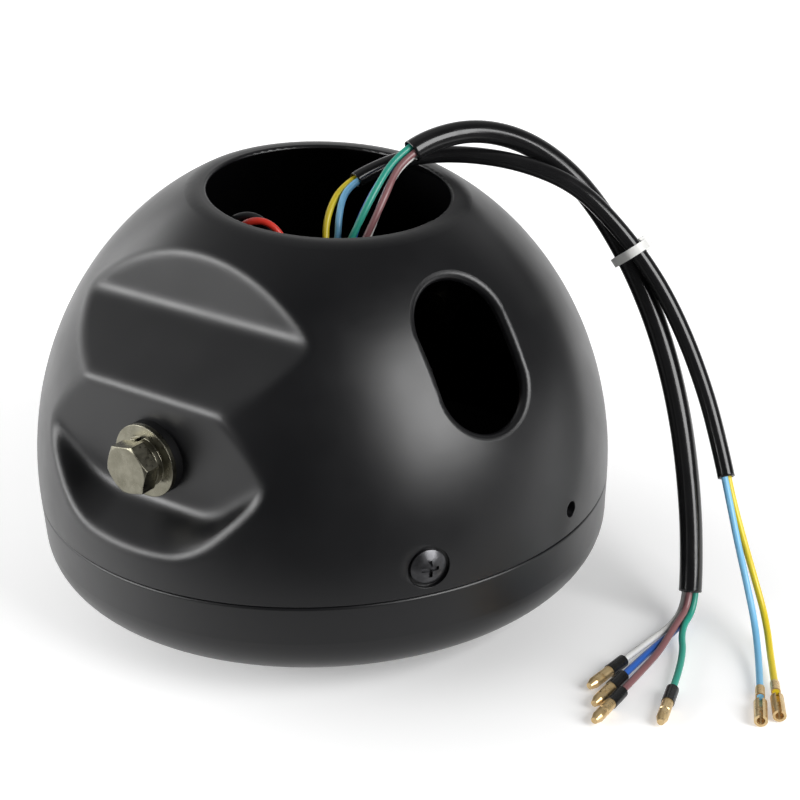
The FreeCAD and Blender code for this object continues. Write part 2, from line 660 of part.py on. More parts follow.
def make_reflector():
    radial = REFLECTOR_MOUTH_R - REFLECTOR_NECK_R
    neck_z = LENS_TOP_Z + REFLECTOR_DEPTH
    back_radial = radial + REFLECTOR_WALL
    back_axial = REFLECTOR_DEPTH + REFLECTOR_WALL
    back_start = math.degrees(math.asin(FLANGE_T / back_axial))
    back_r = REFLECTOR_NECK_R + back_radial * math.cos(math.radians(back_start))
    inner = ellipse_arc(REFLECTOR_NECK_R, LENS_TOP_Z, radial, REFLECTOR_DEPTH, 0.0, 90.0)
    back = ellipse_arc(REFLECTOR_NECK_R, LENS_TOP_Z, back_radial, back_axial, back_start, 90.0)
    return turned((REFLECTOR_MOUTH_R, LENS_TOP_Z), (inner, (REFLECTOR_NECK_R, neck_z)),
                  (REFLECTOR_HOLE_R, neck_z), (REFLECTOR_HOLE_R, SINK_Z), (REFLECTOR_NECK_R, SINK_Z),
                  (back, (back_r, SHELF_Z)), (FLANGE_R, SHELF_Z), (FLANGE_R, LENS_TOP_Z))


def make_retaining_ring():
    ring = turned((RING_INNER_R, SHELF_Z), (RING_OUTER_R, SHELF_Z), (RING_OUTER_R, RING_TOP_Z),
                  (RING_INNER_R, RING_TOP_Z))
    holes = [Part.makeCylinder(RING_SCREW_D / 2, RING_T, ring_screw_seat(i) - Vec(0, 0, RING_T))
             for i in range(RING_SCREW_COUNT)]
    return ring.cut(holes)


def make_ring_screws():
    shank_r = RING_SCREW_D / 2
    head_r = RING_SCREW_HEAD_D / 2
    screw = turned((0, -RING_SCREW_LENGTH), (shank_r, -RING_SCREW_LENGTH), (shank_r, 0), (head_r, 0),
                   (head_r, RING_SCREW_EDGE), cap((head_r, RING_SCREW_EDGE), RING_SCREW_HEAD_H))
    screws = []
    for i in range(RING_SCREW_COUNT):
        copy = screw.copy()
        copy.translate(ring_screw_seat(i))
        screws.append(copy)
    return screws


def make_heat_sink():
    post_r = REFLECTOR_HOLE_R - SINK_POST_GAP
    sink = turned((0, BOARD_TOP_Z), (post_r, BOARD_TOP_Z), (post_r, SINK_Z), (SINK_R, SINK_Z), (SINK_R, FIN_Z),
                  (SINK_HUB_R, FIN_Z), (SINK_HUB_R, DRIVER_Z), (0, DRIVER_Z))
    fin = Part.makeBox(SINK_R - SINK_HUB_R / 2, SINK_FIN_T, SINK_FIN_H + SINK_BASE_T / 2,
                       Vec(SINK_HUB_R / 2, -SINK_FIN_T / 2, FIN_Z - SINK_BASE_T / 2))
    round_edge = Part.makeCylinder(SINK_R, DRIVER_Z)
    fins = [about_axis(fin, i * FULL_TURN / SINK_FIN_COUNT).common(round_edge) for i in range(SINK_FIN_COUNT)]
    return sink.fuse(fins).removeSplitter()


BOARD_TOP_Z = SINK_Z - SINK_POST_H
BOARD_Z = BOARD_TOP_Z - BOARD_T


def make_led_board():
    return Part.makeCylinder(REFLECTOR_HOLE_R - SINK_POST_GAP, BOARD_T, Vec(0, 0, BOARD_Z))


def make_led_chips():
    half = CHIP_SIDE / 2
    chip = Part.makeBox(CHIP_SIDE, CHIP_SIDE, CHIP_T, Vec(CHIP_CIRCLE_R - half, -half, BOARD_Z - CHIP_T))
    return [about_axis(chip, i * FULL_TURN / CHIP_COUNT) for i in range(CHIP_COUNT)]


def make_driver():
    case = Part.makeCylinder(DRIVER_R, DRIVER_H, Vec(0, 0, DRIVER_Z))
    top = [e for e in case.Edges if e.BoundBox.ZMin > DRIVER_TOP_Z - 1e-6]
    case = case.makeFillet(DRIVER_FILLET, top)
    rib = Part.makeBox(DRIVER_RIB * 2, DRIVER_RIB, DRIVER_H - 2 * DRIVER_FILLET,
                       Vec(DRIVER_R - DRIVER_RIB, -DRIVER_RIB / 2, DRIVER_Z))
    ribs = [about_axis(rib, i * FULL_TURN / DRIVER_RIB_COUNT) for i in range(DRIVER_RIB_COUNT)]
    return case.fuse(ribs)


def make_boot():
    """Rubber boot: round ribs with waists between them, and a plain collar on top."""
    waist = BOOT_R - BOOT_RIB_DEPTH
    steps = []
    for i in range(BOOT_RIBS):
        low = DRIVER_TOP_Z + i * BOOT_RIB_PITCH
        steps.append(((BOOT_R, low + BOOT_RIB_PITCH / 2), (waist, low + BOOT_RIB_PITCH)))
    collar_z = DRIVER_TOP_Z + BOOT_RIBS * BOOT_RIB_PITCH
    boot = turned((0, DRIVER_TOP_Z), (waist, DRIVER_TOP_Z), *steps, (BOOT_TOP_R, collar_z),
                  (BOOT_TOP_R, BOOT_TOP_Z), (0, BOOT_TOP_Z))
    boot.translate(Vec(0, BOOT_Y, 0))
    return boot


def corner_turn(points, i):
    """Directions before and after a corner, and the turn between them."""
    before = (points[i] - points[i - 1]).normalize()
    after = (points[i + 1] - points[i]).normalize()
    return before, after, before.getAngle(after)


def bend_radii(points):
    """The largest radii that leave a straight stretch in every run."""
    radii = [0.0] * len(points)
    for i in range(1, len(points) - 1):
        turn = corner_turn(points, i)[2]
        run = min((points[i] - points[i - 1]).Length, (points[i + 1] - points[i]).Length)
        radii[i] = ARC_SHARE * run / math.tan(turn / 2)
    return radii


def beside(core, radii, offset):
    """Route that keeps its place beside the core round every corner, with its radii."""
    points = [core[0] + offset]
    bends = [0.0]
    for i in range(1, len(core) - 1):
        before, after, turn = corner_turn(core, i)
        axis = before.cross(after).normalize()
        inward = axis.cross(before)
        inset = offset.dot(inward)
        back = before * inset * math.tan(turn / 2)
        points.append(core[i] + axis * offset.dot(axis) + inward * inset - back)
        bends.append(radii[i] - inset)
        offset = FreeCAD.Rotation(axis, math.degrees(turn)).multVec(offset)
    points.append(core[-1] + offset)
    bends.append(0.0)
    return points, bends


def tube(points, radii, diameter, bore=0.0):
    edges = rounded_edges(points, radii)
    path = Part.Wire(edges)
    start = (points[1] - points[0]).normalize()
    ends = [Part.Face(Part.Wire(Part.makeCircle(d / 2, points[0], start))) for d in (diameter, bore) if d]
    solids = [path.makePipe(end) for end in ends]
    solid = solids[0].cut(solids[1]) if bore else solids[0]
    section = math.pi * (diameter ** 2 - bore ** 2) / 4
    expected = section * path.Length
    print("  length %.1f, volume %.4f of section times length, radii %s"
          % (path.Length, solid.Volume / expected, [round(r) for r in radii[1:-1]]))
    return solid


def half_run(points, i):
    return (points[i] + points[i + 1]) / 2


def make_sleeve(core, radii, diameter, bore):
    corners = slice(1, SLEEVE_CORNER_COUNT + 1)
    points = [half_run(core, 0)] + core[corners] + [half_run(core, SLEEVE_CORNER_COUNT)]
    return tube(points, [0.0] + radii[corners] + [0.0], diameter, bore)


def upright(place, height):
    """A wire's end on a level face, and the corner above it."""
    return [Vec(place[0], place[1], height), Vec(place[0], place[1], height + WIRE_RISE)]


def wire_route(core, radii, circle_r, place, start, inner, outer):
    """A wire's corners and radii, from the boot through its sleeve to its terminal."""
    first = (core[1] - core[0]).normalize()
    side = first.cross(UP).normalize()
    offset = FreeCAD.Rotation(first, place).multVec(side * circle_r)
    middle, bends = beside(core, radii, offset)
    before = upright(start, BOOT_TOP_Z) + [Vec(*p) for p in inner]
    points = before + middle + [Vec(*p) for p in outer]
    own = bend_radii(points)
    for i in range(1, len(core) - 1):
        own[len(before) + i] = bends[i]
    return points, own


def loop_route(start, corners, end):
    return upright(start, DRIVER_TOP_Z) + [Vec(*p) for p in corners] + upright(end, DRIVER_TOP_Z)[::-1]


def terminal_frame(points):
    return points[-1], (points[-1] - points[-2]).normalize()


def make_bullet(points):
    """Solid bullet with a collar and a groove; its crimp takes the wire's end."""
    r = BULLET_D / 2
    end = CRIMP_LENGTH + BULLET_LENGTH
    neck = end - BULLET_TIP_LENGTH
    groove = CRIMP_LENGTH + BULLET_LENGTH * 0.45
    bullet = turned((0, 0), (CRIMP_D / 2, 0), (CRIMP_D / 2, CRIMP_LENGTH), (r, CRIMP_LENGTH),
                    (r, groove - BULLET_GROOVE), (r - BULLET_GROOVE, groove), (r, groove + BULLET_GROOVE),
                    (r, neck), (BULLET_TIP_D / 2, end), (0, end))
    return placed(bullet, *terminal_frame(points))


def make_shrink(points):
    start = CRIMP_LENGTH - SHRINK_LENGTH
    sleeve = disc(SHRINK_D, CRIMP_D, SHRINK_LENGTH)
    sleeve.translate(Vec(0, 0, start))
    return placed(sleeve, *terminal_frame(points))


def make_receptacle(points):
    """Open crimp round the wire's end, a narrow neck and a slit barrel."""
    crimp = disc(CRIMP_D, WIRE_D, BARREL_CRIMP)
    crimp.translate(Vec(0, 0, -BARREL_CRIMP))
    barrel = disc(BARREL_D, BARREL_BORE, BARREL_LENGTH)
    slit = Part.makeBox(BARREL_SLIT, BARREL_D, BARREL_LENGTH, Vec(-BARREL_SLIT / 2, 0, 0))
    barrel = barrel.cut(slit)
    barrel.translate(Vec(0, 0, BARREL_NECK))
    strip = disc(CRIMP_D, WIRE_D, BARREL_NECK + BARREL_LENGTH / 4)
    width = Part.makeBox(BARREL_NECK_WIDTH, CRIMP_D, BARREL_NECK + BARREL_LENGTH / 4,
                         Vec(-BARREL_NECK_WIDTH / 2, -CRIMP_D, 0))
    terminal = crimp.fuse([barrel, strip.common(width)])
    return placed(terminal, *terminal_frame(points))


def make_tie(thick, thin):
    """Band round both sleeves, with its square head."""
    first = half_run(thick, TIE_THICK_COUNT)
    second = half_run(thin, TIE_THIN_COUNT)
    along = (thick[TIE_THICK_COUNT + 1] - thick[TIE_THICK_COUNT]).normalize()
    along = along + (thin[TIE_THIN_COUNT + 1] - thin[TIE_THIN_COUNT]).normalize()
    along.normalize()
    across = second - first
    lead = across.dot(along)
    across = across - along * lead
    distance = across.Length
    across.normalize()

    def band(extra):
        r1 = THICK_SLEEVE_D / 2 + TIE_CLEARANCE + extra
        r2 = THIN_SLEEVE_D / 2 + TIE_CLEARANCE + extra
        lean = math.asin((r1 - r2) / distance)
        tangent = Vec(math.sin(lean), math.cos(lean), 0)
        below = Vec(tangent.x, -tangent.y, 0)
        centre = Vec(distance, 0, 0)
        edges = [Part.Arc(tangent * r1, Vec(-r1, 0, 0), below * r1).toShape(),
                 Part.makeLine(below * r1, centre + below * r2),
                 Part.Arc(centre + below * r2, centre + Vec(r2, 0, 0), centre + tangent * r2).toShape(),
                 Part.makeLine(centre + tangent * r2, tangent * r1)]
        return Part.Face(Part.Wire(edges)).extrude(Vec(0, 0, TIE_WIDTH))

    tie = band(TIE_T).cut(band(0))
    head_y = THICK_SLEEVE_D / 2 + TIE_CLEARANCE
    head_corner = Vec(0, -head_y - TIE_HEAD_H, (TIE_WIDTH - TIE_HEAD) / 2)
    head = Part.makeBox(TIE_HEAD, TIE_HEAD_H, TIE_HEAD, head_corner)
    tie = tie.fuse(head.cut(band(0)))
    tie.translate(Vec(0, 0, -TIE_WIDTH / 2))
    origin = first + along * (lead / 2)
    turn = FreeCAD.Rotation(across, along.cross(across), along, "ZXY")
    tie.Placement = FreeCAD.Placement(origin, turn)
    return tie


def export(name, shape):
    if isinstance(shape, list):
        shape = Part.makeCompound(shape)
    shape.exportStep("parts/%s.step" % name)


def export_cords():
    thick = [Vec(*p) for p in THICK_CORE]
    thin = [Vec(*p) for p in THIN_CORE]
    export("cable_tie", make_tie(thick, thin))
    bundles = (
        ("thick_sleeve", thick, THICK_SLEEVE_D, THICK_SLEEVE_BORE, THICK_WIRES,
         WIRE_SPACING / math.sqrt(2.0)),
        ("thin_sleeve", thin, THIN_SLEEVE_D, THIN_SLEEVE_BORE, THIN_WIRES, WIRE_SPACING / 2),
    )
    for sleeve, core, diameter, bore, wires, circle_r in bundles:
        radii = bend_radii(core)
        print(sleeve)
        export(sleeve, make_sleeve(core, radii, diameter, bore))
        for name, route in wires.items():
            points, bends = wire_route(core, radii, circle_r, *route)
            print(name)
            export(name, tube(points, bends, WIRE_D))
            colour = name.replace("_wire", "")
            if sleeve == "thick_sleeve":
                export(colour + "_bullet", make_bullet(points))
                export(colour + "_shrink_sleeve", make_shrink(points))
            else:
                export(colour + "_receptacle", make_receptacle(points))
    for name, route in LOOP_WIRES.items():
        points = loop_route(*route)
        print(name)
        export(name, tube(points, bend_radii(points), WIRE_D))


def main():
    os.makedirs("parts", exist_ok=True)
    export("bucket", make_bucket())
    export("bezel", make_bezel())
    export("rim_screws", make_rim_screws())
    export("side_spacers", on_bolt_axis(disc(SPACER_D, BOLT_HOLE_D, SPACER_T), FLAT_X))
    export("side_washers", make_side_washers())
    export("side_bolts", make_side_bolts())
    export("inner_washers", on_bolt_axis(disc(INNER_WASHER_D, BOLT_HOLE_D, INNER_WASHER_T), INNER_WASHER_X))
    export("side_nuts", make_nuts())
    export("lens_gasket", turned((LIP_R + GASKET_INSET, LIP_T), (FLANGE_R, LIP_T), (FLANGE_R, GASKET_TOP_Z),
                                 (LIP_R + GASKET_INSET, GASKET_TOP_Z)))
    export("lens", make_lens())
    export("reflector", make_reflector())
    export("retaining_ring", make_retaining_ring())
    export("ring_screws", make_ring_screws())
    export("heat_sink", make_heat_sink())
    export("led_board", make_led_board())
    export("led_chips", make_led_chips())
    export("driver_case", make_driver())
    export("wire_boot", make_boot())
    export_cords()


main()
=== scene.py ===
import math

import bpy
from mathutils import Matrix, Quaternion, Vector


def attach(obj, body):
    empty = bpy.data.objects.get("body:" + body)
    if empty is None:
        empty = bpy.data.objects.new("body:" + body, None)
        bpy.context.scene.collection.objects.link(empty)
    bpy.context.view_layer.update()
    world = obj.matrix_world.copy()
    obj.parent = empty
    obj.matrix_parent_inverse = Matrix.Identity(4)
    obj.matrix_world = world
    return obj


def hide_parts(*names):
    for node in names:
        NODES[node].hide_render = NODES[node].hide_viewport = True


# LED motorbike headlight, lying lens down, with its wire harness over the edge.
# Sizes are in metres in the model's frame; cord sizes and routes are in millimetres.

MM = 0.001
UP = Vector((0, 0, 1))

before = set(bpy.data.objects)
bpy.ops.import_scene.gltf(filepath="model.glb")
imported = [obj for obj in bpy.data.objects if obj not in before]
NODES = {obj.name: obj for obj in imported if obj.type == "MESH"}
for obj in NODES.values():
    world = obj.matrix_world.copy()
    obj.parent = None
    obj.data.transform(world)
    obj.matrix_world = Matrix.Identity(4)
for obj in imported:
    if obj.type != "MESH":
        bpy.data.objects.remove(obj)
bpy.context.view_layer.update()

# Camera, fitted to the photograph
CAMERA_POS = Vector((-0.41707, -0.35102, 0.30904))
CAMERA_RIGHT = Vector((0.5988, -0.8005, -0.0264))
CAMERA_BACK = Vector((-0.7201, -0.5525, 0.4199))
CAMERA_LENS = 85.56
CAMERA_SENSOR = 36.0
CAMERA_NEAR = 0.01

# Lamps: name, position, the height in the object that it points at, size, power in watts
LAMPS = (
    ("front_box", (-0.03, -0.95, 0.49), 0.07, (0.62, 0.7), 11.5),
    ("back_box", (-0.25, 1.05, 0.44), 0.06, (1.2, 0.6), 4.0),
    ("left_box", (-0.85, 0.60, 0.34), 0.07, (0.6, 0.3), 6.0),
)

# Backdrop and room, where a level of 1 is white
ROOM_LEVEL = 0.05
BACKDROP_LEVEL = 1.0
BACKDROP_SIDE = (0.26, 0.97, 0.15)
BACKDROP_EDGE = (-0.15, 0.4)           # along BACKDROP_SIDE, from the room to the backdrop
BACKDROP_TOP = (0.15, 0.65)            # in height, from the backdrop to its dimmer top
BACKDROP_TOP_SHARE = 0.3

# Floor
FLOOR_HALF = 3.0
FLOOR_WHITE = (0.86, 0.86, 0.86)
FLOOR_PAINTED_DIM = (0.12, 0.12, 0.12)         # painted shade: what reflections see of the floor on the side of the dim room
FLOOR_ROUGHNESS = 0.9
FLOOR_SPECULAR = 0.1
FLOOR_SIDE = (0.75, 0.66, 0.0)
FLOOR_DIM_EDGE = (-0.20, -0.06)        # along FLOOR_SIDE, from the painted dim floor to white
FLOOR_GLOW_AND_PAINTED_SHADOW = (0.10, 0.42, 0.70)        # glow levels: in the painted shadow, near the object, and far from it
FLOOR_GLOW_REACH = (0.0, 0.12, 0.45)   # the distances of these from the painted shadow's centre
# Centre of the shadow painted on the floor, where the floor's glow is lowest
PAINTED_SHADOW_CENTRE = (-0.005, -0.055, 0.0)

# Materials
RECESS_SIDE = (0.046, 0.052)           # from the middle, where the recesses' soft edges come in
RECESS_HEIGHT = (0.040, 0.044)         # the same, in height
EDGE_SAMPLES = 8
WEAR_FINENESS = 2.3                    # of the patches of roughness, against those of colour
WIRE_SHADE = 0.82                      # of a wire's darker patches
LENS_COLOUR = (0.96, 0.98, 0.99)
LENS_IOR = 1.58

# Cord sizes
WIRE_D = 2.1
WIRE_SPACING = 2.2
WIRE_RISE = 9.0
THICK_SLEEVE_D = 7.0
THIN_SLEEVE_D = 5.2
SLEEVE_WALL = 0.55
SLEEVE_CORNERS = 10
BOOT_TOP_Z = 97.0
DRIVER_TOP_Z = 82.0
CORD_ORDER = 3                         # a quadratic spline
CORD_STEPS = 14                        # along the cord, for each corner
CORD_ROUNDNESS = 7

# Cord routes, corner by corner, in millimetres
THICK_CORE = (
    (18.3, -18.0, 133.9), (28.8, -22.4, 139.0), (41.5, -30.5, 140.5), (51.8, -41.5, 136.4),
    (58.3, -53.7, 126.9), (61.0, -65.6, 113.4), (60.6, -78.0, 96.4), (57.1, -89.8, 77.4),
    (50.4, -100.6, 56.4), (42.4, -109.1, 33.6), (35.2, -114.1, 15.0), (31.2, -115.8, 5.4),
    (22.0, -116.6, 3.6),
)
THIN_CORE = (
    (10.5, -3.5, 125.3), (19.9, -6.0, 128.5), (31.6, -13.4, 131.7), (40.7, -26.5, 132.4),
    (46.7, -44.5, 131.0), (53.5, -60.0, 124.5), (56.9, -72.6, 112.7), (59.2, -84.7, 98.3),
    (58.9, -95.1, 83.0), (54.7, -106.4, 65.7), (48.6, -115.5, 50.4), (43.1, -122.1, 39.4),
)
# Each wire: the angle of its place in the sleeve, where it leaves the boot, the corners
# from there to the sleeve, and the corners from the sleeve to its terminal
THICK_WIRES = {
    "brown": (
        0.0, (-1.8, -14.8),
        ((1.0, -20.0, 117.0), (8.5, -21.3, 127.0)),
        ((9.5, -118.2, 2.4), (-2.2, -119.0, 2.2), (-15.7, -119.9, 2.2)),
    ),
    "white": (
        90.0, (3.2, -13.7),
        ((6.0, -16.5, 114.5), (11.0, -18.0, 124.0)),
        ((10.0, -112.6, 2.3), (-1.5, -111.8, 2.2)),
    ),
    "blue": (
        180.0, (4.0, -9.8),
        ((4.5, -12.5, 116.0), (10.5, -14.8, 126.0)),
        ((9.0, -115.4, 2.2), (-8.5, -116.0, 2.2)),
    ),
    "green": (
        270.0, (-4.1, -11.9),
        ((0.5, -16.0, 118.0), (8.0, -18.0, 128.5)),
        ((10.0, -126.0, 2.3), (-6.5, -131.4, 2.2)),
    ),
}
THIN_WIRES = {
    "light_blue": (
        0.0, (0.5, -6.8),
        ((1.0, -8.5, 113.5), (3.5, -7.2, 120.0)),
        ((38.0, -127.5, 29.0), (36.8, -131.5, 18.0), (31.5, -138.0, 7.0), (17.5, -146.8, 2.3),
         (4.5, -153.7, 2.3)),
    ),
    "yellow": (
        180.0, (-3.2, -8.3),
        ((-1.0, -5.0, 113.5), (3.2, -3.5, 120.5)),
        ((41.5, -127.8, 28.0), (41.0, -132.0, 17.5), (36.8, -138.8, 6.8), (23.0, -147.8, 2.3),
         (9.3, -156.2, 2.3)),
    ),
}
# Each loop: where it leaves the driver case, its corners, and where it goes back in
LOOP_WIRES = {
    "red": (
        (-15.0, 12.0),
        ((-26.5, 10.0, 114.0), (-28.0, 4.0, 125.0), (-24.5, -5.0, 126.0), (-22.5, -11.0, 115.0)),
        (-17.0, -9.0),
    ),
    "black": (
        (-11.0, 15.5),
        ((-24.0, 16.0, 114.0), (-26.0, 10.5, 124.5), (-21.5, 2.0, 125.8), (-19.0, -4.0, 115.0)),
        (-13.5, -3.0),
    ),
}


# Shader nodes

def new_material(name):
    mat = bpy.data.materials.new(name)
    mat.use_nodes = True
    tree = mat.node_tree
    shader = next(n for n in tree.nodes if n.type == "BSDF_PRINCIPLED")
    return mat, tree, shader


def add_node(tree, kind, **values):
    node = tree.nodes.new(kind)
    for key, value in values.items():
        setattr(node, key, value)
    return node


def noise(tree, scale, detail=3.0, roughness=0.55):
    """Noise in the model's own coordinates, in cycles per metre."""
    coords = add_node(tree, "ShaderNodeTexCoord")
    texture = add_node(tree, "ShaderNodeTexNoise")
    texture.inputs["Scale"].default_value = scale
    texture.inputs["Detail"].default_value = detail
    texture.inputs["Roughness"].default_value = roughness
    tree.links.new(coords.outputs["Object"], texture.inputs["Vector"])
    return texture.outputs["Fac"]


def ranged(tree, source, low, high, start=0.3, end=0.7):
    """From low to high while the source goes from start to end."""
    node = add_node(tree, "ShaderNodeMapRange")
    node.inputs["From Min"].default_value = start
    node.inputs["From Max"].default_value = end
    node.inputs["To Min"].default_value = low
    node.inputs["To Max"].default_value = high
    tree.links.new(source, node.inputs["Value"])
    return node.outputs["Result"]


def mixed(tree, source, first, second):
    node = add_node(tree, "ShaderNodeMix", data_type="RGBA")
    colour_inputs = [s for s in node.inputs if s.type == "RGBA"]
    colour_inputs[0].default_value = (*first, 1.0)
    colour_inputs[1].default_value = (*second, 1.0)
    tree.links.new(source, node.inputs["Factor"])
    return next(s for s in node.outputs if s.type == "RGBA")


def combined(tree, operation, first, second):
    node = add_node(tree, "ShaderNodeMath", operation=operation)
    tree.links.new(first, node.inputs[0])
    tree.links.new(second, node.inputs[1])
    return node.outputs["Value"]


def measured(tree, operation, source, vector):
    """Distance from a place, or dot product with a direction."""
    node = add_node(tree, "ShaderNodeVectorMath", operation=operation)
    node.inputs[1].default_value = vector
    tree.links.new(source, node.inputs[0])
    return node.outputs["Value"]


# Materials

def recess_radius(tree, radii):
    """Edge radius of the moulding: small in general, larger in the two side recesses."""
    coords = add_node(tree, "ShaderNodeTexCoord")
    parts = add_node(tree, "ShaderNodeSeparateXYZ")
    side = add_node(tree, "ShaderNodeMath", operation="ABSOLUTE")
    tree.links.new(coords.outputs["Object"], parts.inputs["Vector"])
    tree.links.new(parts.outputs["X"], side.inputs[0])
    outer = ranged(tree, side.outputs["Value"], 0.0, 1.0, *RECESS_SIDE)
    above = ranged(tree, parts.outputs["Z"], 0.0, 1.0, *RECESS_HEIGHT)
    return ranged(tree, combined(tree, "MULTIPLY", outer, above), radii[0], radii[1], 0.0, 1.0)


def surface(name, dark, light, rough, metallic=0.0, mottle=120.0, grain=900.0, bump=0.05,
            grain_size=0.0002, coat=0.0, coat_rough=0.1, specular=0.5, soft_edge=None):
    """Mottled colour, uneven roughness and a fine grain."""
    mat, tree, shader = new_material(name)
    links = tree.links
    shader.inputs["Metallic"].default_value = metallic
    shader.inputs["Specular IOR Level"].default_value = specular
    shader.inputs["Coat Weight"].default_value = coat
    shader.inputs["Coat Roughness"].default_value = coat_rough
    patches = ranged(tree, noise(tree, mottle), 0.0, 1.0)
    links.new(mixed(tree, patches, dark, light), shader.inputs["Base Color"])
    wear = noise(tree, mottle * WEAR_FINENESS, detail=4.0)
    links.new(ranged(tree, wear, rough[0], rough[1]), shader.inputs["Roughness"])
    bump_node = add_node(tree, "ShaderNodeBump")
    bump_node.inputs["Strength"].default_value = bump
    bump_node.inputs["Distance"].default_value = grain_size
    links.new(noise(tree, grain, detail=2.0), bump_node.inputs["Height"])
    if soft_edge:
        rounding = add_node(tree, "ShaderNodeBevel", samples=EDGE_SAMPLES)
        links.new(recess_radius(tree, soft_edge), rounding.inputs["Radius"])
        links.new(rounding.outputs["Normal"], bump_node.inputs["Normal"])
    links.new(bump_node.outputs["Normal"], shader.inputs["Normal"])
    return mat


def wire_material(colour):
    light = WIRE_COLOURS[colour]
    dark = tuple(WIRE_SHADE * c for c in light)
    return surface("wire_" + colour, dark, light, (0.28, 0.42), mottle=60.0, grain=700.0,
                   bump=0.04, coat=0.15, coat_rough=0.2)


def lens_material():
    mat, tree, shader = new_material("lens_clear")
    shader.inputs["Base Color"].default_value = (*LENS_COLOUR, 1.0)
    shader.inputs["Transmission Weight"].default_value = 1.0
    shader.inputs["IOR"].default_value = LENS_IOR
    bump = add_node(tree, "ShaderNodeBump")
    bump.inputs["Strength"].default_value = 0.15
    bump.inputs["Distance"].default_value = 0.0003
    waves = noise(tree, 90.0, detail=1.0)
    wear = noise(tree, 300.0)
    tree.links.new(waves, bump.inputs["Height"])
    tree.links.new(bump.outputs["Normal"], shader.inputs["Normal"])
    tree.links.new(ranged(tree, wear, 0.02, 0.06), shader.inputs["Roughness"])
    return mat


WIRE_COLOURS = {
    "brown": (0.235, 0.103, 0.108),
    "blue": (0.028, 0.125, 0.50),
    "white": (0.74, 0.74, 0.72),
    "green": (0.022, 0.32, 0.235),
    "light_blue": (0.215, 0.54, 0.82),
    "yellow": (0.80, 0.62, 0.024),
    "red": (0.66, 0.035, 0.02),
    "black": (0.012, 0.012, 0.013),
}

SHELL = surface("shell_black", (0.0032, 0.0033, 0.0040), (0.0046, 0.0047, 0.0056), (0.31, 0.37),
                mottle=25.0, grain=2600.0, bump=0.06, grain_size=0.0001,
                soft_edge=(0.0003, 0.005))
RUBBER = surface("rubber_black", (0.032, 0.032, 0.033), (0.050, 0.050, 0.051), (0.42, 0.55),
                 mottle=200.0)
SPACER = surface("spacer_black", (0.004, 0.004, 0.0045), (0.007, 0.007, 0.0075), (0.55, 0.7),
                 mottle=200.0, specular=0.2)
BOOT_GLOSS = surface("shrink_black", (0.008, 0.008, 0.008), (0.013, 0.013, 0.013), (0.18, 0.30),
                     mottle=300.0)
SLEEVE = surface("sleeve_black", (0.006, 0.006, 0.0065), (0.010, 0.010, 0.0105), (0.14, 0.24),
                 mottle=90.0, grain=500.0, bump=0.03)
ZINC = surface("steel_zinc", (0.17, 0.162, 0.122), (0.26, 0.248, 0.196), (0.24, 0.36),
               metallic=1.0, mottle=260.0, grain=1500.0, bump=0.16, soft_edge=(0.0004, 0.0004))
DARK_STEEL = surface("steel_dark", (0.05, 0.05, 0.053), (0.10, 0.10, 0.105), (0.28, 0.42),
                     metallic=0.9, mottle=400.0, grain=2200.0, bump=0.15)
BRASS = surface("brass_gold", (0.72, 0.50, 0.23), (0.88, 0.67, 0.37), (0.24, 0.38),
                metallic=0.8, mottle=300.0, grain=2500.0, bump=0.08)
NYLON = surface("nylon_white", (0.70, 0.70, 0.68), (0.80, 0.80, 0.78), (0.36, 0.48), mottle=200.0)
ALUMINIUM = surface("aluminium_grey", (0.32, 0.33, 0.34), (0.48, 0.49, 0.50), (0.4, 0.55),
                    metallic=0.9)
CASE = surface("case_black", (0.026, 0.026, 0.027), (0.040, 0.040, 0.041), (0.40, 0.55),
               mottle=80.0)
SILVER = surface("reflector_silver", (0.72, 0.72, 0.74), (0.84, 0.84, 0.86), (0.06, 0.12),
                 metallic=1.0, mottle=40.0, bump=0.01)
LED = surface("led_yellow", (0.72, 0.50, 0.06), (0.86, 0.66, 0.12), (0.25, 0.35), mottle=500.0,
              coat=0.6)
GASKET = surface("gasket_black", (0.02, 0.02, 0.02), (0.035, 0.035, 0.035), (0.6, 0.75),
                 mottle=150.0)

CAD_LOOKS = {
    "bucket": SHELL,
    "bezel": SHELL,
    "lens": lens_material(),
    "lens_gasket": GASKET,
    "reflector": SILVER,
    "retaining_ring": ZINC,
    "ring_screws": ZINC,
    "heat_sink": ALUMINIUM,
    "led_board": ALUMINIUM,
    "led_chips": LED,
    "driver_case": CASE,
    "wire_boot": RUBBER,
    "rim_screws": DARK_STEEL,
    "side_bolts": ZINC,
    "side_washers": ZINC,
    "side_spacers": SPACER,
    "inner_washers": DARK_STEEL,
    "side_nuts": DARK_STEEL,
    "cable_tie": NYLON,
}
for colour in THICK_WIRES:
    CAD_LOOKS[colour + "_bullet"] = BRASS
    CAD_LOOKS[colour + "_shrink_sleeve"] = BOOT_GLOSS
for colour in THIN_WIRES:
    CAD_LOOKS[colour + "_receptacle"] = BRASS
for node_name, look in CAD_LOOKS.items():
    materials = NODES[node_name].data.materials
    materials.clear()
    materials.append(look)


# Cords

def vectors(points):
    return [Vector(p) for p in points]


def beside(core, offset):
    """Route that keeps its place beside the core round every corner."""
    points = [core[0] + offset]
    for i in range(1, len(core) - 1):
        before = (core[i] - core[i - 1]).normalized()
        after = (core[i + 1] - core[i]).normalized()
        turn = before.angle(after)
        axis = before.cross(after).normalized()
        inward = axis.cross(before)
        inset = offset.dot(inward)
        along = inset * math.tan(turn / 2)
        points.append(core[i] + axis * offset.dot(axis) + inward * inset - before * along)
        offset = Quaternion(axis, turn) @ offset
    points.append(core[-1] + offset)
    return points


def upright(place, height):
    return [Vector((*place, height)), Vector((*place, height + WIRE_RISE))]


def wire_points(core, circle_r, place, start, inner, outer):
    first = (core[1] - core[0]).normalized()
    side = first.cross(UP).normalized()
    offset = Quaternion(first, math.radians(place)) @ (side * circle_r)
    return upright(start, BOOT_TOP_Z) + vectors(inner) + beside(core, offset) + vectors(outer)


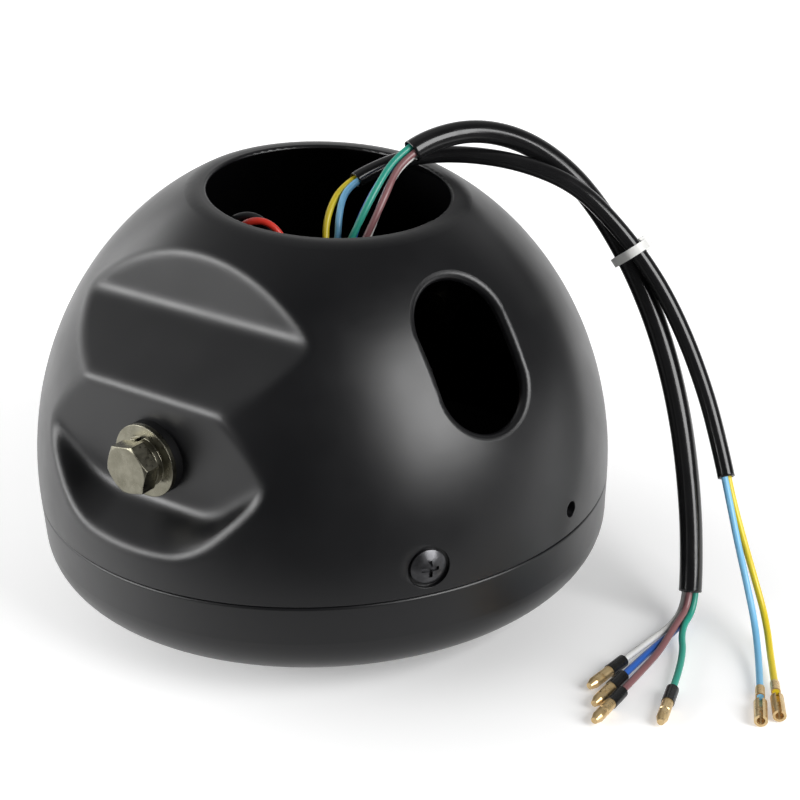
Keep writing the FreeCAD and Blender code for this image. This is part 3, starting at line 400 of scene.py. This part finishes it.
def sleeve_points(core):
    start = (core[0] + core[1]) / 2
    end = (core[SLEEVE_CORNERS] + core[SLEEVE_CORNERS + 1]) / 2
    return [start] + core[1:SLEEVE_CORNERS + 1] + [end]


def add_cord(name, points, diameter, mat, caps=True):
    curve = bpy.data.curves.new(name, "CURVE")
    curve.dimensions = "3D"
    spline = curve.splines.new("NURBS")
    spline.points.add(len(points) - 1)
    for knot, point in zip(spline.points, points):
        knot.co = (*(point * MM), 1.0)
    spline.order_u = CORD_ORDER
    spline.use_endpoint_u = True
    spline.resolution_u = CORD_STEPS
    curve.bevel_depth = diameter * MM / 2
    curve.bevel_resolution = CORD_ROUNDNESS
    curve.use_fill_caps = caps
    curve.materials.append(mat)
    obj = bpy.data.objects.new(name, curve)
    bpy.context.scene.collection.objects.link(obj)
    return obj


def declare(obj, node):
    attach(obj, "root")
    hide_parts(node)


def add_wire(colour, points):
    lead = add_cord(colour + "_lead", points, WIRE_D, wire_material(colour))
    declare(lead, colour + "_wire")


def add_sleeve(sleeve, points, diameter):
    tube = add_cord(sleeve + "_tube", points, diameter, SLEEVE, caps=False)
    wall = tube.modifiers.new("wall", "SOLIDIFY")
    wall.thickness = SLEEVE_WALL * MM
    wall.offset = -1.0
    declare(tube, sleeve)


def add_bundle(core, sleeve, diameter, wires, circle_r):
    core = vectors(core)
    for colour, route in wires.items():
        add_wire(colour, wire_points(core, circle_r, *route))
    add_sleeve(sleeve, sleeve_points(core), diameter)


add_bundle(THICK_CORE, "thick_sleeve", THICK_SLEEVE_D, THICK_WIRES, WIRE_SPACING / math.sqrt(2.0))
add_bundle(THIN_CORE, "thin_sleeve", THIN_SLEEVE_D, THIN_WIRES, WIRE_SPACING / 2)
for colour, (start, corners, end) in LOOP_WIRES.items():
    rising, falling = upright(start, DRIVER_TOP_Z), upright(end, DRIVER_TOP_Z)[::-1]
    add_wire(colour, rising + vectors(corners) + falling)


# Stage, light and camera

def stage_material():
    """White floor with a faint glow, lowered round the object to paint a shadow there. Reflections
    see it painted dim on the side of the dim room.
    """
    mat, tree, shader = new_material("floor_white")
    links = tree.links
    shader.inputs["Base Color"].default_value = (*FLOOR_WHITE, 1.0)
    shader.inputs["Roughness"].default_value = FLOOR_ROUGHNESS
    shader.inputs["Specular IOR Level"].default_value = FLOOR_SPECULAR
    ray = add_node(tree, "ShaderNodeLightPath").outputs
    place = add_node(tree, "ShaderNodeTexCoord").outputs["Object"]

    # The glow is lowered round the object, which paints a shadow on the floor
    distance = measured(tree, "DISTANCE", place, PAINTED_SHADOW_CENTRE)
    painted_shadow, near, far = FLOOR_GLOW_AND_PAINTED_SHADOW
    start, middle, end = FLOOR_GLOW_REACH
    level = combined(tree, "ADD", ranged(tree, distance, painted_shadow, near, start, middle),
                     ranged(tree, distance, 0.0, far - near, middle, end))
    seen = combined(tree, "MAXIMUM", ray["Is Camera Ray"], ray["Is Glossy Ray"])
    glow = add_node(tree, "ShaderNodeEmission")
    links.new(combined(tree, "MULTIPLY", seen, level), glow.inputs["Strength"])
    lit = add_node(tree, "ShaderNodeAddShader")
    links.new(shader.outputs["BSDF"], lit.inputs[0])
    links.new(glow.outputs["Emission"], lit.inputs[1])

    # Reflections see the floor painted dim on the side of the dim room: painted shade
    painted_dim_share = ranged(tree, measured(tree, "DOT_PRODUCT", place, FLOOR_SIDE), 1.0, 0.0, *FLOOR_DIM_EDGE)
    dim = add_node(tree, "ShaderNodeBsdfDiffuse")
    dim.inputs["Color"].default_value = (*FLOOR_PAINTED_DIM, 1.0)
    either = add_node(tree, "ShaderNodeMixShader")
    links.new(combined(tree, "MULTIPLY", painted_dim_share, ray["Is Glossy Ray"]), either.inputs[0])
    links.new(lit.outputs["Shader"], either.inputs[1])
    links.new(dim.outputs["BSDF"], either.inputs[2])
    output = next(n for n in tree.nodes if n.type == "OUTPUT_MATERIAL")
    links.new(either.outputs["Shader"], output.inputs["Surface"])
    return mat


def add_floor():
    half = FLOOR_HALF
    corners = [(-half, -half, 0), (half, -half, 0), (half, half, 0), (-half, half, 0)]
    mesh = bpy.data.meshes.new("floor")
    mesh.from_pydata(corners, [], [(0, 1, 2, 3)])
    mesh.materials.append(stage_material())
    floor = bpy.data.objects.new("floor", mesh)
    bpy.context.scene.collection.objects.link(floor)


def add_lamp(name, position, target_height, size, power):
    data = bpy.data.lights.new(name, "AREA")
    data.shape = "RECTANGLE"
    data.size, data.size_y = size
    data.energy = power
    lamp = bpy.data.objects.new(name, data)
    lamp.location = position
    aim = UP * target_height - Vector(position)
    lamp.rotation_euler = aim.to_track_quat("-Z", "Y").to_euler()
    bpy.context.scene.collection.objects.link(lamp)


def add_camera():
    data = bpy.data.cameras.new("camera")
    data.lens = CAMERA_LENS
    data.sensor_width = CAMERA_SENSOR
    data.clip_start = CAMERA_NEAR
    camera = bpy.data.objects.new("camera", data)
    back = CAMERA_BACK.normalized()
    up = back.cross(CAMERA_RIGHT).normalized()
    right = up.cross(back)
    turn = Matrix((right, up, back)).transposed().to_4x4()
    camera.matrix_world = Matrix.Translation(CAMERA_POS) @ turn
    bpy.context.scene.collection.objects.link(camera)
    bpy.context.scene.camera = camera


def add_world():
    """Studio: a white backdrop behind the object, and a dim room over and behind the camera.

    The camera itself sees white all round.
    """
    world = bpy.data.worlds.new("studio")
    world.use_nodes = True
    tree = world.node_tree
    background = next(n for n in tree.nodes if n.type == "BACKGROUND")
    direction = add_node(tree, "ShaderNodeTexCoord").outputs["Generated"]
    parts = add_node(tree, "ShaderNodeSeparateXYZ")
    tree.links.new(direction, parts.inputs["Vector"])
    facing = measured(tree, "DOT_PRODUCT", direction, BACKDROP_SIDE)
    behind = ranged(tree, facing, 0.0, 1.0, *BACKDROP_EDGE)
    low = ranged(tree, parts.outputs["Z"], 1.0, BACKDROP_TOP_SHARE, *BACKDROP_TOP)
    share = combined(tree, "MULTIPLY", behind, low)
    lit = ranged(tree, share, ROOM_LEVEL, BACKDROP_LEVEL, 0.0, 1.0)
    ray = add_node(tree, "ShaderNodeLightPath").outputs
    level = combined(tree, "MAXIMUM", lit, ray["Is Camera Ray"])
    tree.links.new(level, background.inputs["Strength"])
    background.inputs["Color"].default_value = (1.0, 1.0, 1.0, 1.0)
    bpy.context.scene.world = world


add_floor()
for lamp_facts in LAMPS:
    add_lamp(*lamp_facts)
add_camera()
add_world()
bpy.context.scene.view_settings.view_transform = "Standard"
